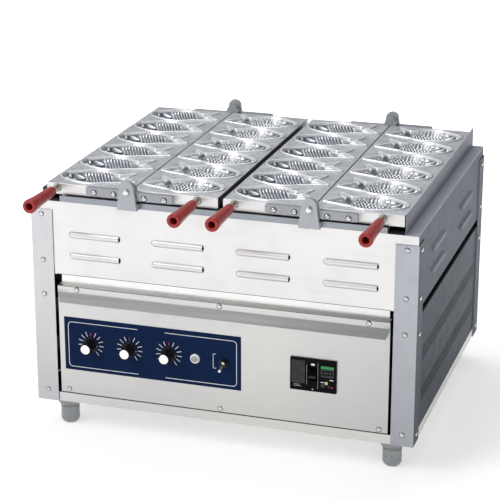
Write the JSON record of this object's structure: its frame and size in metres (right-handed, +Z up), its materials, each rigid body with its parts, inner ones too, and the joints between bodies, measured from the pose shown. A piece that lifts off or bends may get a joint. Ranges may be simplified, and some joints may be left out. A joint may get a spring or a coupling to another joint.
{
  "type": "taiyaki maker",
  "caption": "Electric taiyaki maker with two pairs of folding fish-mould plates over a louvred cabinet, dial control panel, visor and levelling feet.",
  "frame": {"origin": "middle of the overall footprint at the bottom of the feet", "axes": "+X to the right seen from the front, +Y to the back, +Z up"},
  "size_m": [0.766, 0.7692, 0.5313],
  "materials": {
    "casing_steel": "satin",
    "side_steel": "satin",
    "post_steel": "satin",
    "inner_steel": "dull",
    "rail_steel": "satin",
    "hinge_steel": "satin",
    "cast_plate": "as cast",
    "rod_steel": "polished",
    "grip_red": "gloss",
    "heater_sheath": "dull",
    "gland_black": "matt",
    "foot_steel": "satin",
    "knob_black": "gloss",
    "regulator_cream": "matt",
    "control_blue": "gloss",
    "lamp_white": "gloss",
    "switch_black": "gloss",
    "lever_chrome": "polished",
    "breaker_black": "matt",
    "button_yellow": "gloss",
    "screw_steel": "polished"
  },
  "bodies": {
    "cabinet": {"front_louvre_panel": "casing_steel", "rear_louvre_panel": "casing_steel", "left_upper_panel": "casing_steel", "right_upper_panel": "casing_steel", "control_panel": "casing_steel", "front_visor": "casing_steel", "rear_lower_panel": "casing_steel", "base_pan": "casing_steel", "left_guard": "casing_steel", "right_guard": "casing_steel", "left_lower_panel": "side_steel", "right_lower_panel": "side_steel", "post_front_left": "post_steel", "post_front_right": "post_steel", "post_rear_left": "post_steel", "post_rear_right": "post_steel", "heat_shield": "inner_steel", "drip_tray": "inner_steel", "heater_supports": "inner_steel", "front_rail": "rail_steel", "rear_rail": "rail_steel", "hinge_brackets_left": "hinge_steel", "hinge_brackets_right": "hinge_steel", "hinge_pins": "hinge_steel", "heaters": "heater_sheath", "cable_gland": "gland_black", "foot_collars": "foot_steel", "regulators": "regulator_cream", "control_plate": "control_blue", "pilot_lamp": "lamp_white", "toggle_switch": "switch_black", "breaker_body": "breaker_black", "post_screws": "screw_steel", "panel_screws": "screw_steel"},
    "mould_1": {"plate_1": "cast_plate", "hinge_straps_1": "hinge_steel", "handle_rod_1": "rod_steel", "grip_1": "grip_red"},
    "mould_2": {"plate_2": "cast_plate", "hinge_straps_2": "hinge_steel", "handle_rod_2": "rod_steel", "grip_2": "grip_red"},
    "mould_3": {"plate_3": "cast_plate", "hinge_straps_3": "hinge_steel", "handle_rod_3": "rod_steel", "grip_3": "grip_red"},
    "mould_4": {"plate_4": "cast_plate", "hinge_straps_4": "hinge_steel", "handle_rod_4": "rod_steel", "grip_4": "grip_red"},
    "knob_left_body": {"knob_left": "knob_black"},
    "knob_middle_body": {"knob_middle": "knob_black"},
    "knob_right_body": {"knob_right": "knob_black"},
    "switch_lever": {"toggle_lever": "lever_chrome"},
    "breaker_toggle": {"breaker_lever": "breaker_black"},
    "test_button": {"breaker_button": "button_yellow"},
    "adjuster_front_left": {"foot_front_left": "foot_steel"},
    "adjuster_front_right": {"foot_front_right": "foot_steel"},
    "adjuster_rear_left": {"foot_rear_left": "foot_steel"},
    "adjuster_rear_right": {"foot_rear_right": "foot_steel"}
  },
  "joints": [
    {"name": "mould_1_hinge", "type": "hinge", "parent": "cabinet", "child": "mould_1", "pos_m": [-0.1772, -0.2696, 0.5093], "axis": [0, 1, 0], "range_deg": [0, 180]},
    {"name": "mould_2_hinge", "type": "hinge", "parent": "cabinet", "child": "mould_2", "pos_m": [-0.1772, -0.2696, 0.5093], "axis": [0, -1, 0], "range_deg": [0, 180]},
    {"name": "mould_3_hinge", "type": "hinge", "parent": "cabinet", "child": "mould_3", "pos_m": [0.1772, -0.2696, 0.5093], "axis": [0, 1, 0], "range_deg": [0, 180]},
    {"name": "mould_4_hinge", "type": "hinge", "parent": "cabinet", "child": "mould_4", "pos_m": [0.1772, -0.2696, 0.5093], "axis": [0, -1, 0], "range_deg": [0, 180]},
    {"name": "knob_left_turn", "type": "hinge", "parent": "cabinet", "child": "knob_left_body", "pos_m": [-0.264, -0.264, 0.1875], "axis": [0, 1, 0], "range_deg": [0, 300]},
    {"name": "knob_middle_turn", "type": "hinge", "parent": "cabinet", "child": "knob_middle_body", "pos_m": [-0.1834, -0.264, 0.1875], "axis": [0, 1, 0], "range_deg": [0, 300]},
    {"name": "knob_right_turn", "type": "hinge", "parent": "cabinet", "child": "knob_right_body", "pos_m": [-0.1028, -0.264, 0.1875], "axis": [0, 1, 0], "range_deg": [0, 300]},
    {"name": "switch_flip", "type": "hinge", "parent": "cabinet", "child": "switch_lever", "pos_m": [0.0085, -0.2666, 0.1835], "axis": [-1, 0, 0], "range_deg": [0, 34]},
    {"name": "breaker_throw", "type": "hinge", "parent": "cabinet", "child": "breaker_toggle", "pos_m": [0.1845, -0.2561, 0.185], "axis": [-1, 0, 0], "range_deg": [0, 40]},
    {"name": "test_button_press", "type": "slide", "parent": "cabinet", "child": "test_button", "axis": [0, 1, 0], "range_m": [0, 0.0015], "stiffness_N_per_m": 150, "springref_m": -0.001},
    {"name": "foot_front_left_screw", "type": "slide", "parent": "cabinet", "child": "adjuster_front_left", "axis": [0, 0, -1], "range_m": [0, 0.012]},
    {"name": "foot_front_right_screw", "type": "slide", "parent": "cabinet", "child": "adjuster_front_right", "axis": [0, 0, -1], "range_m": [0, 0.012]},
    {"name": "foot_rear_left_screw", "type": "slide", "parent": "cabinet", "child": "adjuster_rear_left", "axis": [0, 0, -1], "range_m": [0, 0.012]},
    {"name": "foot_rear_right_screw", "type": "slide", "parent": "cabinet", "child": "adjuster_rear_right", "axis": [0, 0, -1], "range_m": [0, 0.012]}
  ]
}
